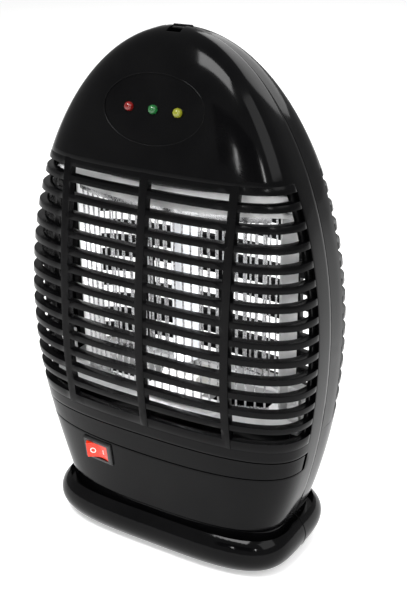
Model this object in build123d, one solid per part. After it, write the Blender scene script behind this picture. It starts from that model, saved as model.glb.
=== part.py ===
from build123d import *
from math import asin, copysign, cos, pi, radians, sin, sqrt
import os

# Tabletop electric bug zapper, millimetres. The origin is at the bottom centre, +Z is up,
# the front (switch and indicator lamps) faces -Y and +X is the right-hand side from the front.

# Outer body: half an egg-shaped shield in front of the parting plane y = 0 and half behind it.
HEIGHT = 305.0
WIDEST_HALF = 93.2
WIDEST_Z = 143.0
LOWER_SPAN = 193.0
DEEPEST_HALF = 48.6
DEEPEST_Z = 126.0
BOTTOM_HALF_DEPTH = 39.0
DEPTH_POWER = 1.8
REAR_RATIO = 0.92
FLAT_X = 2.68
FLAT_Y = 4.3
WALL = 2.2
BODY_BOTTOM = 28.0
BODY_TOP = HEIGHT - 0.8
SECTION_POINTS = 24

# Windows, one in front and one behind, each filled by a slotted grille insert.
WINDOW_LOW = 87.0
WINDOW_HIGH = 234.5
WINDOW_SIDE_Y = 14.7
FIT_GAP = 0.1
BAR_COUNT = 13
TOP_BAR_Z = 223.7
BAR_PITCH = 10.2
BAR_HEIGHT = 3.6
GRILLE_DEPTH = 4.5
RIB_OFFSET = 52.6
RIB_WIDTH = 5.0
RIB_PROUD = 0.3
RIB_DEPTH = 4.1
SILL_TOP = 92.8
LIP_BOTTOM = 230.4

# Collecting tray, drawn out to the front between the lower body and the window.
TRAY_TOP = 79.2
TRAY_LOW_MIDDLE = 66.0
TRAY_LOW_END = 70.0
TRAY_OPENING_Y = 13.3
TRAY_END_Y = 16.2
TRAY_GAP = 0.8
TRAY_HALF = 70.0
TRAY_BACK = 28.0
TRAY_FLOOR = 67.2
TRAY_WALL = 1.8
TRAY_TRAVEL = 66.0

# Base: two bullnose halves, a bottom plate and four rubber feet.
BASE_HALF = 81.5
BASE_HALF_DEPTH = 46.5
BASE_POWER = 3.8
BASE_LOW = 1.0
BASE_TOP = 27.0
BASE_NOSE = 12.0
NOSE_STEPS = 5
WELL_HALF = 77.4
WELL_HALF_DEPTH = 41.4
WELL_FLOOR = 20.0
DECK_UNDER = 16.0
PLATE_TOP = 4.0
FOOT_RADIUS = 6.0
FOOT_X = 52.0
FOOT_Y = 21.0

# Rocker switch on a flat seat that follows the slope of the lower front.
SWITCH_X = -38.0
SWITCH_Z = 56.6
BEZEL_LONG = 21.0
BEZEL_TALL = 15.0
BEZEL_THICK = 2.0
SWITCH_LONG = 19.0
SWITCH_TALL = 12.8
SWITCH_DEPTH = 15.0
ROCKER_LONG = 14.8
ROCKER_CREST = 4.1
ROCKER_TALL = 10.4
ROCKER_SWING = 11.0

# Indicator lamps in a shallow oval recess on the hood.
LED_Z = 266.4
LED_PITCH = 15.2
LED_RADIUS = 2.5
RECESS_LONG = 31.0
RECESS_TALL = 18.5
RECESS_DEPTH = 1.6
PAD_THICK = 2.2
LED_BOARD_DROP = 8.0

# Killing chamber: two curved wire grids between metal plates round one 16 mm lamp tube.
CAGE_HALF = 67.0
CAGE_EDGE_Y = 10.0
CAGE_BULGE = 16.5
WIRE_PITCH = 5.0
WIRE_COUNT = 25
WIRE_RADIUS = 0.6
WIRE_LOW = 96.0
WIRE_HIGH = 214.0
BUS_HEIGHT = 4.0
BUS_THICK = 1.6
CAGE_FLOOR_LOW = 88.0
SHELF_INSET = 8.0
SHELF_THICK = 1.6
CAGE_ROOF_HIGH = 226.0
LAMP_RADIUS = 8.0
LAMP_LOW = 104.0
LAMP_LENGTH = 136.0
CAP_LENGTH = 8.0
PIN_RADIUS = 1.15
PIN_LENGTH = 6.5
PIN_OFFSET = 2.5

# Fasteners and the lower compartment.
SCREW_RADIUS = 1.3
SCREW_HEAD = 3.0
BOSS_RADIUS = 4.0
BOSSES = ((44.0, 250.0), (70.0, 50.0))
DECK_Z = 62.4
DECK_THICK = 1.8
POST_X = 58.0
POST_Y = 16.5
INLET_X = 44.0
INLET_Z = 41.0
INLET_RADIUS = 5.0

# Hanging tab at the crown.
KNUCKLE_Y = 2.6
KNUCKLE_Z = 303.3
KNUCKLE_RADIUS = 1.8
TAB_WIDTH = 11.0
TAB_LENGTH = 15.0
TAB_THICK = 2.4
TAB_TILT = 52.0
EYE_RADIUS = 2.8
EYE_INSET = 5.5
TAB_CORNER = 4.0
PIVOT_HALF = 7.5
PIVOT_RADIUS = 0.85
CROWN_BLOCK = 9.0
CROWN_LOW = 290.0
CROWN_HIGH = 302.5

FRONT = -1
REAR = 1
BIG = 400.0
TINY = 1e-9

LOWER_LEVELS = (BODY_BOTTOM, 40.0, 52.0, 64.0, 76.0, WINDOW_LOW)
WINDOW_LEVELS = (WINDOW_LOW, 110.0, 135.0, 160.0, 185.0, 210.0, WINDOW_HIGH)
HOOD_LEVELS = (WINDOW_HIGH, 248.0, 261.0, 273.0, 283.0, 291.0, 297.5, BODY_TOP)


def half_width(z):
    """Half width of the body at height z: an ellipse above the widest level and one below."""
    span = HEIGHT - WIDEST_Z if z > WIDEST_Z else LOWER_SPAN
    return WIDEST_HALF * sqrt(max(1 - ((z - WIDEST_Z) / span) ** 2, 0.0))


def half_depth(z, side=FRONT):
    """Half depth at height z: an S-curve up to the deepest level, a dome above it."""
    if z > DEEPEST_Z:
        rise = (z - DEEPEST_Z) / (HEIGHT - DEEPEST_Z)
        depth = DEEPEST_HALF * sqrt(max(1 - rise**DEPTH_POWER, 0.0))
    else:
        rise = max(z - WELL_FLOOR, 0.0) / (DEEPEST_Z - WELL_FLOOR)
        blend = rise * rise * (3 - 2 * rise)
        depth = BOTTOM_HALF_DEPTH + (DEEPEST_HALF - BOTTOM_HALF_DEPTH) * blend
    return depth * (REAR_RATIO if side == REAR else 1.0)


def face_y(x, z, side=FRONT, inset=0.0):
    """Y of the body's surface at x and z, or of the surface inset by a wall."""
    share = min(abs(x) / (half_width(z) - inset), 1.0)
    return side * (half_depth(z, side) - inset) * (1 - share**FLAT_X) ** (1 / FLAT_Y)


def super_points(half_x, half_y, power_x, power_y, side, start=0.0, end=pi, count=SECTION_POINTS):
    """Points of a superellipse between two angles, from +X round towards -X on one side."""
    points = []
    for step in range(count + 1):
        angle = start + (end - start) * step / count
        across, out = cos(angle), max(sin(angle), 0.0)
        out = 0.0 if out < TINY else out
        x = half_x * copysign(abs(across) ** (2 / power_x), across)
        points.append((x, side * half_y * out ** (2 / power_y)))
    return points


def half_face(points, z, side):
    """Closed half outline at height z, as a face."""
    ends = ((0, side, 0), (0, -side, 0))
    curve = Spline(*[(x, y, z) for x, y in points], tangents=ends)
    return make_face([curve, Line(curve @ 1, curve @ 0)])


def body_face(z, side, inset=0.0):
    """Half section of the body at height z."""
    half_x = half_width(z) - inset
    return half_face(super_points(half_x, half_depth(z, side) - inset, FLAT_X, FLAT_Y, side), z, side)


def base_face(half_x, half_y, z, side):
    """Half section of the base."""
    return half_face(super_points(half_x, half_y, BASE_POWER, BASE_POWER, side), z, side)


def angle_at(y, z, side, inset):
    """Angle of the section's point that lies |y| from the parting plane."""
    return asin((y / (half_depth(z, side) - inset)) ** (FLAT_Y / 2))


def curve_at(z, side, inset, start, end, count):
    """Spline along the section at height z between two angles."""
    half_x, half_y = half_width(z) - inset, half_depth(z, side) - inset
    points = super_points(half_x, half_y, FLAT_X, FLAT_Y, side, start, end, count)
    return Spline(*[(x, y, z) for x, y in points])


def closed_wire(outer, inner):
    """Outline made of two curves that run the same way, joined at their ends."""
    ends = (Line(outer @ 1, inner @ 1).edge(), Line(inner @ 0, outer @ 0).edge())
    return Wire([outer.edge(), ends[0], inner.edge(), ends[1]])


def band_wire(z, side, near, outset, inset):
    """Closed outline of the wall across the front, from |y| = near on one end to the other."""
    outer_turn, inner_turn = angle_at(near, z, side, outset), angle_at(near, z, side, inset)
    outer = curve_at(z, side, outset, outer_turn, pi - outer_turn, SECTION_POINTS)
    inner = curve_at(z, side, inset, inner_turn, pi - inner_turn, SECTION_POINTS)
    return closed_wire(outer, inner)


def rail_wire(z, side, near, far, outset, inset):
    """Closed outline of the wall on the right-hand side between two distances from the parting plane."""
    outer = curve_at(z, side, outset, angle_at(near, z, side, outset), angle_at(far, z, side, outset), 5)
    inner = curve_at(z, side, inset, angle_at(near, z, side, inset), angle_at(far, z, side, inset), 5)
    return closed_wire(outer, inner)


def both_sides(shape):
    """A right-hand piece and its mirror image on the left."""
    return [shape, shape.mirror(Plane.YZ)]


def body_half(side, inset, levels):
    """Solid part of the egg between two levels, inset by a wall thickness."""
    return Solid.make_loft([body_face(z, side, inset).face().outer_wire() for z in levels])


def rails(side, near, far, outset, inset, levels):
    """Walls beside a window, on both sides of the body."""
    return both_sides(Solid.make_loft([rail_wire(z, side, near, far, outset, inset) for z in levels]))


def span_box(x0, x1, y0, y1, z0, z1):
    """Box between two corners."""
    middle = Location(((x0 + x1) / 2, (y0 + y1) / 2, (z0 + z1) / 2))
    return middle * Box(x1 - x0, y1 - y0, z1 - z0)


def rod(start, end, radius):
    """Round rod between two points."""
    start, end = Vector(*start), Vector(*end)
    plane = Plane(origin=start, z_dir=end - start)
    return extrude(plane * Circle(radius), amount=(end - start).length)


def switch_plane():
    """Seat of the switch: origin on the surface, normal outwards, x to the right, y up the face."""
    step = 5.0
    here = face_y(SWITCH_X, SWITCH_Z)
    slope_x = (face_y(SWITCH_X + step, SWITCH_Z) - face_y(SWITCH_X - step, SWITCH_Z)) / (2 * step)
    slope_z = (face_y(SWITCH_X, SWITCH_Z + step) - face_y(SWITCH_X, SWITCH_Z - step)) / (2 * step)
    normal = Vector(slope_x, -1, slope_z)
    return Plane(origin=(SWITCH_X, here, SWITCH_Z), x_dir=(1, slope_x, 0), z_dir=normal)


def led_plane(x=0.0):
    """Axis of an indicator lamp: origin on the recess floor, normal outwards."""
    step = 4.0
    slope = (face_y(0, LED_Z + step) - face_y(0, LED_Z - step)) / (2 * step)
    normal = Vector(0, -1, slope).normalized()
    origin = Vector(x, face_y(0, LED_Z), LED_Z) - normal * RECESS_DEPTH
    return Plane(origin=origin, x_dir=(1, 0, 0), z_dir=normal)


def tab_plane():
    """Hanging tab: origin on its hinge axis, x along the stowed tab, z off the rear slope."""
    tilt = radians(TAB_TILT)
    return Plane(
        origin=(0, KNUCKLE_Y, KNUCKLE_Z),
        x_dir=(0, cos(tilt), -sin(tilt)),
        z_dir=(0, sin(tilt), cos(tilt)),
    )


def tray_profile(gap=0.0):
    """Front view of the tray front: level above, arched below, grown by a gap."""
    low_end, low_middle = TRAY_LOW_END - gap, TRAY_LOW_MIDDLE - gap
    top = TRAY_TOP + gap
    arch = ThreePointArc((-BIG / 4, low_end), (0, low_middle), (BIG / 4, low_end))
    rest = Polyline(arch @ 1, (BIG / 4, top), (-BIG / 4, top), arch @ 0)
    return make_face([arch, rest])


def tray_block(gap, near, far):
    """Tray front's outline drawn along Y between two distances in front of the parting plane."""
    plane = Plane(origin=(0, -near, 0), x_dir=(1, 0, 0), z_dir=(0, -1, 0))
    return extrude(plane * tray_profile(gap), amount=far - near)


def shifted(plane, distance):
    """Plane moved along its own normal."""
    return Plane(origin=plane.origin + plane.z_dir * distance, x_dir=plane.x_dir, z_dir=plane.z_dir)


def shell_half(side):
    """Wall of one half: hood, rails beside the window and lower body."""
    hollow_top = BODY_TOP - 3.0
    lower = body_half(side, 0.0, LOWER_LEVELS) - body_half(side, WALL, (BODY_BOTTOM - 2,) + LOWER_LEVELS[1:])
    hollow_levels = HOOD_LEVELS[:-1] + (hollow_top,)
    hood = body_half(side, 0.0, HOOD_LEVELS) - body_half(side, WALL, hollow_levels)
    return lower.fuse(hood, *rails(side, 0.0, WINDOW_SIDE_Y, 0.0, WALL, WINDOW_LEVELS))


def boss_pads(side, radius, near, wall_gap):
    """Screw posts along Y from the parting plane to inside the wall."""
    posts = []
    for x, z in BOSSES:
        far = abs(face_y(x + radius, z, side)) - wall_gap
        posts += [rod((s * x, side * near, z), (s * x, side * far, z), radius) for s in (-1, 1)]
    return posts


def front_shell():
    """Hood, side rails, cross-bar and lower front, with the switch seat and lamp recess."""
    shell = shell_half(FRONT)
    shell = shell.fuse(*boss_pads(FRONT, BOSS_RADIUS, 0.0, 1.0))
    seat = led_plane()
    pad = Plane(origin=seat.origin - seat.z_dir * PAD_THICK, x_dir=seat.x_dir, z_dir=seat.z_dir)
    shell += extrude(pad * Ellipse(RECESS_LONG + 2, RECESS_TALL + 2), amount=PAD_THICK + 0.2)
    shell -= extrude(seat * Ellipse(RECESS_LONG, RECESS_TALL), amount=12)
    for side in (-1, 1):
        post = shifted(led_plane(side * 2 * LED_PITCH), -LED_BOARD_DROP)
        shell += extrude(post * Circle(2.5), amount=LED_BOARD_DROP - PAD_THICK / 2)
    for place in (-1, 0, 1):
        shell -= extrude(led_plane(place * LED_PITCH) * Circle(LED_RADIUS + 0.1), amount=9, both=True)
    shell -= tray_block(TRAY_GAP, TRAY_OPENING_Y, BIG / 4)
    for pilot in boss_pads(FRONT, SCREW_RADIUS, -1.0, 12.0):
        shell -= pilot
    face = shifted(switch_plane(), -0.5)
    shell -= extrude(face * Rectangle(BEZEL_LONG + 0.3, BEZEL_TALL + 0.3), amount=6)
    shell -= extrude(face * Rectangle(SWITCH_LONG + 0.2, SWITCH_TALL + 0.2), amount=8, both=True)
    shell += span_box(-CROWN_BLOCK, CROWN_BLOCK, -6.5, 0, CROWN_LOW, CROWN_HIGH)
    shell -= span_box(-4.3, 4.3, -7.4, 1, CROWN_LOW + 6, HEIGHT + 1)
    return shell


def rear_shell():
    """Rear half with its window, the screw posts, the cord inlet and the crown channel."""
    shell = shell_half(REAR)
    shell = shell.fuse(*boss_pads(REAR, BOSS_RADIUS, 0.0, 1.0))
    for x, z in BOSSES:
        for side in (-1, 1):
            floor = face_y(x, z, REAR) - 4.0
            shell -= rod((side * x, floor, z), (side * x, BIG / 4, z), SCREW_HEAD + 0.3)
            shell -= rod((side * x, -1, z), (side * x, floor + 1, z), SCREW_RADIUS + 0.3)
    shell -= rod((INLET_X, 20, INLET_Z), (INLET_X, 60, INLET_Z), INLET_RADIUS)
    shell += span_box(-CROWN_BLOCK, CROWN_BLOCK, 0, 5.8, CROWN_LOW, CROWN_HIGH)
    width = TAB_WIDTH + 0.8
    channel = shifted(tab_plane(), -(TAB_THICK / 2 + 0.6))
    middle, reach = Pos(TAB_LENGTH / 2 - 0.7, 0), TAB_LENGTH + 4.4
    floor = extrude(channel * middle * Rectangle(reach, width + 2 * WALL), amount=-WALL)
    shell += floor - span_box(-BIG, BIG, -BIG, 0, 0, BIG)
    shell -= extrude(channel * middle * Rectangle(reach, width), amount=14)
    shell -= rod((-width / 2, KNUCKLE_Y, KNUCKLE_Z), (width / 2, KNUCKLE_Y, KNUCKLE_Z), KNUCKLE_RADIUS + 0.5)
    half = PIVOT_HALF + FIT_GAP
    shell -= rod((-half, KNUCKLE_Y, KNUCKLE_Z), (half, KNUCKLE_Y, KNUCKLE_Z), PIVOT_RADIUS + FIT_GAP)
    return shell


def rib(side, place):
    """Upright rib that follows the curve of the window, a little proud of the bars."""
    x = place * RIB_OFFSET
    levels = [WINDOW_LOW + (WINDOW_HIGH - WINDOW_LOW) * step / 10 for step in range(11)]
    outer = Spline(*[(0, face_y(x, z, side) + side * RIB_PROUD, z) for z in levels])
    inner = Spline(*[(0, face_y(x, z, side) - side * RIB_DEPTH, z) for z in levels])
    face = make_face([outer, Line(outer @ 1, inner @ 1), inner, Line(inner @ 0, outer @ 0)])
    blade = extrude(face, amount=RIB_WIDTH / 2, dir=(1, 0, 0), both=True)
    return blade.moved(Location((x, 0, 0)))


def grille(side):
    """Slotted insert: sill, lip, level bars and three ribs joined by a strip behind each rail."""
    near = WINDOW_SIDE_Y + FIT_GAP
    spans = [(WINDOW_LOW, SILL_TOP), (LIP_BOTTOM, WINDOW_HIGH)]
    for bar in range(BAR_COUNT):
        z = TOP_BAR_Z - bar * BAR_PITCH
        spans.append((z - BAR_HEIGHT / 2, z + BAR_HEIGHT / 2))
    pieces = [Solid.make_loft([band_wire(z, side, near, 0.0, GRILLE_DEPTH) for z in span]) for span in spans]
    pieces += [rib(side, place) for place in (-1, 0, 1)]
    levels = (WINDOW_LOW + 2,) + WINDOW_LEVELS[1:-1] + (WINDOW_HIGH - 2,)
    pieces += rails(side, 9.5, 17.5, WALL + 0.15, GRILLE_DEPTH - 0.3, levels)
    return pieces[0].fuse(*pieces[1:])


def base_half(side):
    """Bullnose half of the base with a well round a pedestal that carries the body."""
    middle, rise = (BASE_TOP + BASE_LOW) / 2, (BASE_TOP - BASE_LOW) / 2
    wires = []
    for step in range(-NOSE_STEPS, NOSE_STEPS + 1):
        turn = pi / 2 * step / NOSE_STEPS
        shrink = BASE_NOSE * (1 - cos(turn))
        section = base_face(BASE_HALF - shrink, BASE_HALF_DEPTH - shrink, middle + rise * sin(turn), side)
        wires.append(section.face().outer_wire())
    block = Solid.make_loft(wires)
    block -= extrude(base_face(WELL_HALF, WELL_HALF_DEPTH, WELL_FLOOR, side), amount=20)
    block -= extrude(base_face(BASE_HALF - 12, BASE_HALF_DEPTH - 11, -1, side), amount=DECK_UNDER + 1)
    block += extrude(body_face(BODY_BOTTOM, side, 0.5), amount=-(BODY_BOTTOM - DECK_UNDER))
    block -= extrude(body_face(BODY_BOTTOM, side, 6.0).moved(Location((0, 0, 1))), amount=-20)
    return block


def base_plate():
    """Bottom plate with the posts that carry the partition and the circuit board."""
    plate = extrude(base_face(BASE_HALF - 12.3, BASE_HALF_DEPTH - 11.3, 1.6, FRONT), amount=PLATE_TOP - 1.6)
    plate += extrude(base_face(BASE_HALF - 12.3, BASE_HALF_DEPTH - 11.3, 1.6, REAR), amount=PLATE_TOP - 1.6)
    for sx in (-1, 1):
        for sy in (-1, 1):
            plate += rod((sx * POST_X, sy * POST_Y, PLATE_TOP - 1), (sx * POST_X, sy * POST_Y, DECK_Z), 4.0)
            plate += rod((sx * 40, sy * 18, PLATE_TOP - 1), (sx * 40, sy * 18, 24.0), 3.0)
            plate -= rod((sx * FOOT_X, sy * FOOT_Y, -1), (sx * FOOT_X, sy * FOOT_Y, 2.4), FOOT_RADIUS)
    return plate


def partition():
    """Deck under the tray with the four posts that carry the chamber and the tray's runners."""
    deck = extrude(body_face(DECK_Z, FRONT, WALL + 1.2), amount=DECK_THICK)
    deck += extrude(body_face(DECK_Z, REAR, WALL + 1.2), amount=DECK_THICK)
    top = DECK_Z + DECK_THICK
    for side in (-1, 1):
        for y in (-9, 9):
            deck += rod((side * 77, y, top - 0.5), (side * 77, y, CAGE_FLOOR_LOW), 3.0)
        x0, x1 = sorted((side * (TRAY_HALF + 0.5), side * (TRAY_HALF + 2.3)))
        deck += span_box(x0, x1, -20, 26, top - 0.5, top + 7)
    deck -= span_box(SWITCH_X - 12.5, SWITCH_X + 12.5, -50, -19, DECK_Z - 1, top + 1)
    return deck


def insect_tray():
    """Drawer whose arched front is part of the body's surface."""
    levels = (TRAY_LOW_MIDDLE - 2, 70.0, 75.0, TRAY_TOP + 2)
    front = Solid.make_loft([band_wire(z, FRONT, TRAY_END_Y, 0.0, WALL) for z in levels])
    front = front & tray_block(0.0, 0.0, BIG / 4)
    tray = span_box(-TRAY_HALF, TRAY_HALF, -60.0, TRAY_BACK, TRAY_FLOOR, TRAY_TOP - 1.5) & outer_prism()
    inside = span_box(
        -TRAY_HALF + TRAY_WALL, TRAY_HALF - TRAY_WALL, -60, TRAY_BACK - TRAY_WALL, TRAY_FLOOR + TRAY_WALL, 90
    )
    tray -= inside & front_prism(WALL + 1.5)
    return front + tray


def outer_prism():
    """Upright prism just inside the body's wall at tray level, front and rear."""
    prism = extrude(body_face(TRAY_LOW_MIDDLE, FRONT, 1.0), amount=20)
    prism += extrude(body_face(TRAY_LOW_MIDDLE, REAR, 1.0), amount=20)
    return prism


def front_prism(inset):
    """Upright prism that keeps the tray's inside behind its front."""
    prism = extrude(body_face(TRAY_LOW_MIDDLE, FRONT, inset), amount=30)
    return prism + extrude(body_face(TRAY_LOW_MIDDLE, REAR, 1.0), amount=30)


def switch_body():
    """Bezel and box of the rocker switch, hollow in front for the rocker."""
    seat = switch_plane()
    seat = Plane(origin=seat.origin - seat.z_dir * 0.5, x_dir=seat.x_dir, z_dir=seat.z_dir)
    body = extrude(seat * Rectangle(BEZEL_LONG, BEZEL_TALL), amount=BEZEL_THICK)
    body = chamfer(body.faces().sort_by(Axis(seat.origin, seat.z_dir))[-1].edges(), 0.7)
    body += extrude(seat * Rectangle(SWITCH_LONG, SWITCH_TALL), amount=-SWITCH_DEPTH)
    mouth = Plane(origin=seat.origin + seat.z_dir * 9, x_dir=seat.x_dir, z_dir=seat.z_dir)
    body -= extrude(mouth * Rectangle(ROCKER_LONG + 1.3, ROCKER_TALL + 0.6), amount=-17.5)
    hinge = rocker_axis_plane()
    body -= extrude(hinge * Circle(1.15), amount=ROCKER_TALL / 2 + 1.1, both=True)
    return body


def rocker_axis_plane():
    """Pivot of the rocker: x points out of the face, y to the right and z up the face."""
    seat = switch_plane()
    return Plane(origin=shifted(seat, -2.6).origin, x_dir=seat.z_dir, z_dir=seat.y_dir)


def rocker():
    """Two-winged rocker on its pivot, left wing out."""
    pivot = rocker_axis_plane()
    half = ROCKER_LONG / 2
    right = [(ROCKER_CREST, 0), (ROCKER_CREST + 1.9, half - 0.5), (2.6, half), (-2.2, 3.0)]
    left = [(out, -across) for out, across in reversed(right[1:])]
    key = extrude(pivot * make_face(Polyline(*right, *left, close=True)), amount=ROCKER_TALL / 2, both=True)
    key += extrude(pivot * Circle(1.1), amount=ROCKER_TALL / 2 + 1.0, both=True)
    return key.rotate(Axis(pivot.origin, pivot.z_dir), ROCKER_SWING)


def switch_terminals():
    """Three blade terminals behind the switch."""
    seat = switch_plane()
    back = Plane(origin=seat.origin - seat.z_dir * (SWITCH_DEPTH + 0.5), x_dir=seat.x_dir, z_dir=seat.z_dir)
    blades = [extrude(back * Pos(x, 0) * Rectangle(0.8, 4.8), amount=-7) for x in (-6, 0, 6)]
    return Compound(blades)


def led(place):
    """Indicator lamp: round body through the hood with a domed lens."""
    plane = led_plane(place * LED_PITCH)
    lamp = extrude(shifted(plane, 0.6) * Circle(LED_RADIUS), amount=-(LED_BOARD_DROP + 0.6))
    return lamp + shifted(plane, 0.6).location * Sphere(LED_RADIUS)


def led_board():
    """Small board that carries the three lamps on the two posts behind the hood."""
    plane = led_plane(0)
    return extrude(shifted(plane, -LED_BOARD_DROP) * Rectangle(5 * LED_PITCH, 12), amount=-1.6)


def cage_outline(side, grow):
    """Half plan of the chamber, grown outwards."""
    tip = CAGE_HALF + grow
    crest = side * (CAGE_EDGE_Y + CAGE_BULGE + grow)
    edge = side * (CAGE_EDGE_Y + grow)
    arc = ThreePointArc((tip, edge), (0, crest), (-tip, edge))
    rest = Polyline(arc @ 1, (-tip, 0), (tip, 0), arc @ 0)
    return make_face([arc, rest])


def cage_slab(z0, z1, grow):
    """Full plan of the chamber as a slab."""
    slab = extrude(Pos(0, 0, z0) * cage_outline(FRONT, grow), amount=z1 - z0)
    return slab + extrude(Pos(0, 0, z0) * cage_outline(REAR, grow), amount=z1 - z0)


def wire_grid(side):
    """Upright wires between an upper and a lower bus strip."""
    grid = None
    for low in (WIRE_LOW, WIRE_HIGH - BUS_HEIGHT):
        strip = extrude(Pos(0, 0, low) * cage_outline(side, BUS_THICK / 2), amount=BUS_HEIGHT)
        strip -= extrude(Pos(0, 0, low) * cage_outline(side, -BUS_THICK / 2), amount=BUS_HEIGHT)
        y0, y1 = sorted((side * (CAGE_EDGE_Y + 1.4), side * BIG))
        strip = strip & span_box(-62, 62, y0, y1, low, low + BUS_HEIGHT)
        grid = strip if grid is None else grid + strip
    arc = cage_outline(side, 0.0).edges().filter_by(GeomType.CIRCLE)[0]
    centre, radius = arc.arc_center, arc.radius
    for number in range(WIRE_COUNT):
        x = (number - (WIRE_COUNT - 1) / 2) * WIRE_PITCH
        y = centre.Y + side * sqrt(radius**2 - x**2)
        grid += rod((x, y, WIRE_LOW + 1), (x, y, WIRE_HIGH - 1), WIRE_RADIUS)
    return grid


def cage_floor():
    """Chamber floor: a thick middle with drop slots above the tray, a shelf round it and two ears."""
    floor = cage_slab(CAGE_FLOOR_LOW, WIRE_LOW, 3.0)
    for side in (FRONT, REAR):
        floor += extrude(body_face(WIRE_LOW, side, SHELF_INSET), amount=-SHELF_THICK)
    floor += span_box(-81, 81, -13, 13, CAGE_FLOOR_LOW, CAGE_FLOOR_LOW + 3)
    for side in (-1, 1):
        x0, x1 = sorted((side * 18, side * 58))
        floor -= span_box(x0, x1, -13, 13, CAGE_FLOOR_LOW - 1, WIRE_LOW + 1)
        x0, x1 = sorted((side * 74, side * 81))
        floor += span_box(x0, x1, -13, -10, CAGE_FLOOR_LOW, 117)
        floor -= rod((side * 77.5, -20, 112), (side * 77.5, 0, 112), SCREW_RADIUS)
    return floor


def cage_roof():
    """Chamber roof: a hollow cap with ears for its screws and a hole for the lamp."""
    roof = cage_slab(WIRE_HIGH, CAGE_ROOF_HIGH, 3.0)
    roof -= cage_slab(WIRE_HIGH + 2, CAGE_ROOF_HIGH + 5, 1.0)
    roof += rod((0, 0, WIRE_HIGH), (0, 0, CAGE_ROOF_HIGH), LAMP_RADIUS + 4.0)
    roof -= rod((0, 0, WIRE_HIGH - 5), (0, 0, CAGE_ROOF_HIGH + 5), LAMP_RADIUS + 1.5)
    for side in (-1, 1):
        x0, x1 = sorted((side * 69, side * 76))
        roof += span_box(x0, x1, -13, -10, WIRE_HIGH, CAGE_ROOF_HIGH)
        roof -= rod((side * 73, -20, 220), (side * 73, 0, 220), SCREW_RADIUS)
    return roof


def cheek(side):
    """Upright metal plate that closes the chamber at one end."""
    x0, x1 = sorted((side * (CAGE_HALF - 0.5), side * (CAGE_HALF + 0.5)))
    return span_box(x0, x1, -CAGE_EDGE_Y, CAGE_EDGE_Y, WIRE_LOW, WIRE_HIGH)


def cage_screws():
    """Four pan-head screws through the chamber's ears."""
    heads = []
    for side in (-1, 1):
        for x, z in ((77.5, 112), (73, 220)):
            screw = rod((side * x, -15, z), (side * x, -13, z), SCREW_HEAD)
            heads.append(screw + rod((side * x, -13.5, z), (side * x, -7, z), SCREW_RADIUS))
    return Compound(heads)


def lamp_tube():
    """Glass tube of the ultraviolet lamp."""
    return rod((0, 0, LAMP_LOW + CAP_LENGTH), (0, 0, LAMP_LOW + LAMP_LENGTH - CAP_LENGTH), LAMP_RADIUS - 0.4)


def lamp_cap(at_top):
    """Metal end cap with two contact pins."""
    z = LAMP_LOW + LAMP_LENGTH - CAP_LENGTH if at_top else LAMP_LOW
    cap = rod((0, 0, z), (0, 0, z + CAP_LENGTH), LAMP_RADIUS)
    tip = z + CAP_LENGTH if at_top else z
    out = 1 if at_top else -1
    for x in (-PIN_OFFSET, PIN_OFFSET):
        cap += rod((x, 0, tip - out), (x, 0, tip + out * PIN_LENGTH), PIN_RADIUS)
    return cap


def lamp_holder(at_top):
    """Moulded socket for the lamp's pins."""
    z0 = LAMP_LOW + LAMP_LENGTH if at_top else WIRE_LOW
    z1 = z0 + LAMP_LOW - WIRE_LOW
    holder = span_box(-12, 12, -9, 9, z0, z1)
    for x in (-PIN_OFFSET, PIN_OFFSET):
        holder -= rod((x, 0, z0 - 1), (x, 0, z1 + 1), PIN_RADIUS)
    return holder


def lamp_bracket():
    """Bridge over the upper socket, standing on the chamber's roof."""
    top = 2 * LAMP_LOW + LAMP_LENGTH - WIRE_LOW
    bridge = span_box(-20, 20, -7, 7, top, top + 2)
    for side in (-1, 1):
        x0, x1 = sorted((side * 18, side * 20))
        bridge += span_box(x0, x1, -7, 7, WIRE_HIGH + 2, top + 2)
    return bridge


def shell_screws():
    """Four screws that hold the rear shell to the front shell."""
    screws = []
    for x, z in BOSSES:
        for side in (-1, 1):
            floor = face_y(x, z, REAR) - 4.0
            head = rod((side * x, floor, z), (side * x, floor + 2.2, z), SCREW_HEAD)
            head -= rod((side * x, floor + 1.2, z), (side * x, floor + 4, z), 1.2)
            screws.append(head + rod((side * x, -11, z), (side * x, floor + 0.5, z), SCREW_RADIUS))
    return Compound(screws)


def foot(sx, sy):
    """Rubber foot in its seat under the base."""
    return rod((sx * FOOT_X, sy * FOOT_Y, 0), (sx * FOOT_X, sy * FOOT_Y, 2.4), FOOT_RADIUS)


def circuit_board():
    """Main board on its four short posts."""
    return span_box(-48, 48, -24, 24, 24.0, 25.6)


def transformer():
    """Step-up transformer: a laminated core with a bobbin."""
    core = span_box(8, 40, -12, 12, 25.6, 50)
    core += span_box(12, 36, -17, 17, 28, 46)
    return core


def capacitors():
    """High-voltage capacitors on the board."""
    cans = [rod((x, y, 25.6), (x, y, 43.6), 4.6) for x, y in ((-36, 8), (-24, 8), (-12, 8))]
    return Compound(cans)


def cord_inlet():
    """Flanged bush round the cord hole in the lower rear."""
    bore = INLET_RADIUS - 1.8
    inner = face_y(INLET_X, INLET_Z, REAR, WALL)
    bush = rod((INLET_X, inner - 6, INLET_Z), (INLET_X, inner + 8, INLET_Z), INLET_RADIUS)
    bush += rod((INLET_X, inner - 6, INLET_Z), (INLET_X, inner - 3.5, INLET_Z), INLET_RADIUS + 2)
    return bush - rod((INLET_X, 0, INLET_Z), (INLET_X, 90, INLET_Z), bore)


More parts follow.
